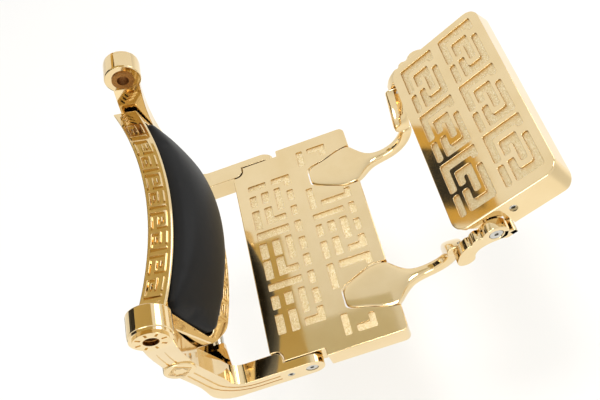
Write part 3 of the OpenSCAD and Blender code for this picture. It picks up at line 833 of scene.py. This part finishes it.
makeNeck(swanNeck, "swanNeckFar", "swan_neck_left", False)
makeNeck(swanNeck, "swanNeckNear", "swan_neck_right", True)
print("swan necks made")


cheek = {
    "inner": 140, "thick": 15, "edgeRound": 1.4,
    # drawn from the heel end round the upper edge to the boss, then back below: y, z, corner
    "outline": [
        (27, -34, 4), (14, -21, 8), (4, -17, 6), (-3, -14.5, 2), (-7, -17, 2), (-11, -12.5, 3), (-18, -11, 2),
        (-23, -15, 3), (-27, -13, 2), (-32, -9, 5), (-39, -9, 6), (-48, -12, 8), (-54, -21, 9), (-54, -30, 9),
        (-46, -40, 9), (-36, -40, 8), (-21, -32, 10), (-6, -34, 6), (2, -39, 4), (7, -47, 3), (12, -50, 4),
        (22, -50, 5), (29, -43, 4),
    ],
    "screwHole": 6.5, "headSeat": 8.7, "seatDepth": 6,
    "ledge": [(-57, -44, 0.8), (-50, -44, 0), (-50, -37, 0.8), (-57, -37, 0.8)],
    "ledgeReach": (126, 29),
    "lug": [(-57, -44, 1), (-42, -44, 2), (-36, -36, 0), (-48, -28, 0), (-57, -37, 1)],
}


def makeCheek(look, name, node, flip):
    inner, thick = look["inner"], look["thick"]
    outer = inner + thick
    bm = prism(look["outline"], thick)
    standUp(bm, inner)
    holes = barAlongX(inner - 2, outer + 2, *padPivot, look["screwHole"])
    join(holes, barAlongX(outer - look["seatDepth"], outer + 2, *padPivot, look["headSeat"]))
    bm = cutAway(bm, holes)

    def onAFace(edge):
        a, b = (v.co.x for v in edge.verts)
        return abs(a - b) < 0.01 and (a > outer - 0.1 or a < inner + 0.1)

    roundEdges(bm, look["edgeRound"], 3, 55, onAFace)
    start, reach = look["ledgeReach"]
    for shape, x0, length in ((look["ledge"], start, reach), (look["lug"], inner, thick)):
        block = prism(shape, length)
        standUp(block, x0)
        join(bm, block)
    finishPiece(name, bm, padPlace, "footplate_assembly", ["gold"], [node], flip=flip)


makeCheek(cheek, "cheekFar", "cheek_left", False)
makeCheek(cheek, "cheekNear", "cheek_right", True)
print("cheeks made")


footPad = {
    "width": 278, "depth": 145, "thick": 33, "flare": 10, "corner": 17, "topRound": 3.2,
    "reliefDepth": 2.6, "reliefRound": 0.6, "reliefCorner": 3.2,
    "motifStarts": (15, 80.5), "motifTops": (128, 42, -44),
    "endShift": 24,  # how far the foot's heel edge is set in from the top's
    "cheekPocket": ([(139.4, -62, 0), (139.4, 28, 0), (180, 28, 0), (180, -62, 0)], 36, -34.5),
    "spacerPocket": ([(133, -38, 0), (133, 22, 0), (180, 22, 0), (180, -38, 0)], 29, -34),
    "bossPocket": (133, 175, 17.5), "sideScrew": (120, 160, -74, -14, 5.05),
    "hollow": [(-125, -30, 8), (-125, -137, 8), (125, -137, 8), (125, -30, 8)],
}
# One motif: outlines as (from the heel, down from its top edge)
motif = [
    [(0, 0), (0, 44), (9.5, 44), (9.5, 12), (44, 12), (44, 18), (52.5, 18), (52.5, 0)],
    [(15, 20), (15, 42), (24, 42), (24, 31), (30, 31), (30, 60), (39, 60), (39, 20)],
    [(0.5, 49), (0.5, 80), (9, 80), (9, 49)],
    [(15, 49), (15, 80), (52.5, 80), (52.5, 29), (44, 29), (44, 68), (24, 68), (24, 49)],
]


def makeFootPad(look):
    half, depth, thick = look["width"] / 2, look["depth"], look["thick"]
    foot, shift = half + look["flare"], look["endShift"]
    bm = bmesh.new()
    drawFace(bm, [(-half, 0, look["corner"]), (-half, -depth, look["corner"]),
                  (half, -depth, look["corner"]), (half, 0, look["corner"])])
    out = bmesh.ops.extrude_face_region(bm, geom=bm.faces[:])
    low = [g for g in out["geom"] if isinstance(g, bmesh.types.BMVert)]
    for vert in low:
        vert.co.x *= foot / half
        vert.co.y = -shift + vert.co.y * (depth - shift) / depth
        vert.co.z = -thick
    bmesh.ops.recalc_face_normals(bm, faces=bm.faces[:])
    recess = bmesh.new()
    x0, x1, radius = look["bossPocket"]
    for side in (1, -1):
        blocks = [prism(*look["cheekPocket"]), prism(*look["spacerPocket"]),
                  barAlongX(x0, x1, *padPivot, radius), barAlongX(*look["sideScrew"])]
        for block in blocks:
            join(recess, block if side > 0 else mirrored(block))
    bm = cutAway(bm, recess)
    bm = cutAway(bm, prism(look["hollow"], 24, -34))
    roundEdges(bm, look["topRound"], 4, 50, lambda e: all(v.co.z > -0.1 for v in e.verts))
    shapes = []
    for start in look["motifStarts"]:
        for top in look["motifTops"]:
            for outlinePoints in motif:
                shapes.append([(top - w, -start - u) for u, w in outlinePoints])
    bm = cutAway(bm, recessTool(shapes, look["reliefDepth"], look["reliefCorner"]))
    roundEdges(bm, look["reliefRound"], 3, 60, reliefRim)
    finishPiece("footPadShell", bm, padPlace, "foot_pad_assembly", reliefFinishes,
                ["foot_pad"], paint=reliefPaint(-look["reliefDepth"], 131, -136, -10))
    print("foot pad made")


makeFootPad(footPad)


studio = {
    "floorZ": -620,
    "floorColor": "#F4F3F0",
    "skyZenith": 0.75, "skySide": 1.0,
    # cards seen only in reflections, given one by one: seat, armrest's dark and gold sides, apron,
    # base, and a high pale one for the room; colour, low corner, high corner
    "cards": [
        ("#16130E", (-270, 110, 60), (270, 560, 230)), ("#16130E", (215, 60, 150), (370, 64, 285)),
        ("#C9A44E", (188, 80, 118), (455, 84, 335)), ("#CEBA7F", (-255, -62, 84), (245, 70, 88)),
        ("#16130E", (-150, 130, -480), (150, 430, -420)), ("#CFCBB8", (20, -220, 560), (272, 330, 565)),
    ],
    "lamps": [  # name, place, aim, size in mm, watts
        ("overhead", (100, -250, 1900), (0, -150, 0), 600, 10),
        ("toeSide", (900, -2300, 900), (0, -150, -100), 1200, 12),
        ("nearSide", (-2100, 500, 500), (0, -100, -100), 900, 10),
    ],
}


def makeStudio(look):
    bm = bmesh.new()
    bmesh.ops.create_grid(bm, x_segments=1, y_segments=1, size=30)
    bmesh.ops.translate(bm, verts=bm.verts[:], vec=(0, 0, look["floorZ"] * mm))
    mesh = bpy.data.meshes.new("floor")
    bm.to_mesh(mesh)
    bm.free()
    material = newMaterial("matteWhiteFloor", {"Base Color": toLinear(look["floorColor"]), "Roughness": 0.9})[0]
    mesh.materials.append(material)
    floor = bpy.data.objects.new("floor", mesh)
    scene.collection.objects.link(floor)
    world = bpy.data.worlds.new("studio")
    scene.world = world
    world.use_nodes = True
    tree = world.node_tree
    tree.nodes.clear()
    direction = addNode(tree, "TexCoord").outputs["Generated"]
    height = addNode(tree, "SeparateXYZ", links={"Vector": direction}).outputs["Z"]
    fade = [(0.0, look["skySide"]), (0.80, look["skySide"]), (0.97, look["skyZenith"])]
    sky = addNode(tree, "ValToRGB", {"stops": fade}, {"Fac": height})
    background = addNode(tree, "Background", {"Strength": 1.0}, {"Color": sky})
    addNode(tree, "OutputWorld", links={"Surface": background})
    reflectionCardFinishes = {}
    for i, (color, low, high) in enumerate(look["cards"]):
        if color not in reflectionCardFinishes:
            settings = {"Base Color": toLinear(color), "Roughness": 0.8}
            reflectionCardFinishes[color] = newMaterial("cardCloth%d" % len(reflectionCardFinishes), settings)[0]
        bm = bmesh.new()
        bmesh.ops.create_cube(bm, size=1)
        bmesh.ops.scale(bm, vec=[(b - a) * mm for a, b in zip(low, high)], verts=bm.verts[:])
        bmesh.ops.translate(bm, vec=[(a + b) / 2 * mm for a, b in zip(low, high)], verts=bm.verts[:])
        mesh = bpy.data.meshes.new("card")
        bm.to_mesh(mesh)
        bm.free()
        mesh.materials.append(reflectionCardFinishes[color])
        card = bpy.data.objects.new("card%d" % i, mesh)
        scene.collection.objects.link(card)
        # painted reflections: each card is hidden from the camera, casts no shadow and gives no diffuse light, so
        # it shows only as a dark or coloured reflection on the gold
        card.visible_camera = card.visible_shadow = card.visible_diffuse = False
    for name, place, aim, size, watts in look["lamps"]:
        lamp = bpy.data.lights.new(name, "AREA")
        lamp.shape = "DISK"
        lamp.size = size * mm
        lamp.energy = watts
        holder = bpy.data.objects.new(name, lamp)
        holder.matrix_world = lookAt(place, aim)
        scene.collection.objects.link(holder)


makeStudio(studio)
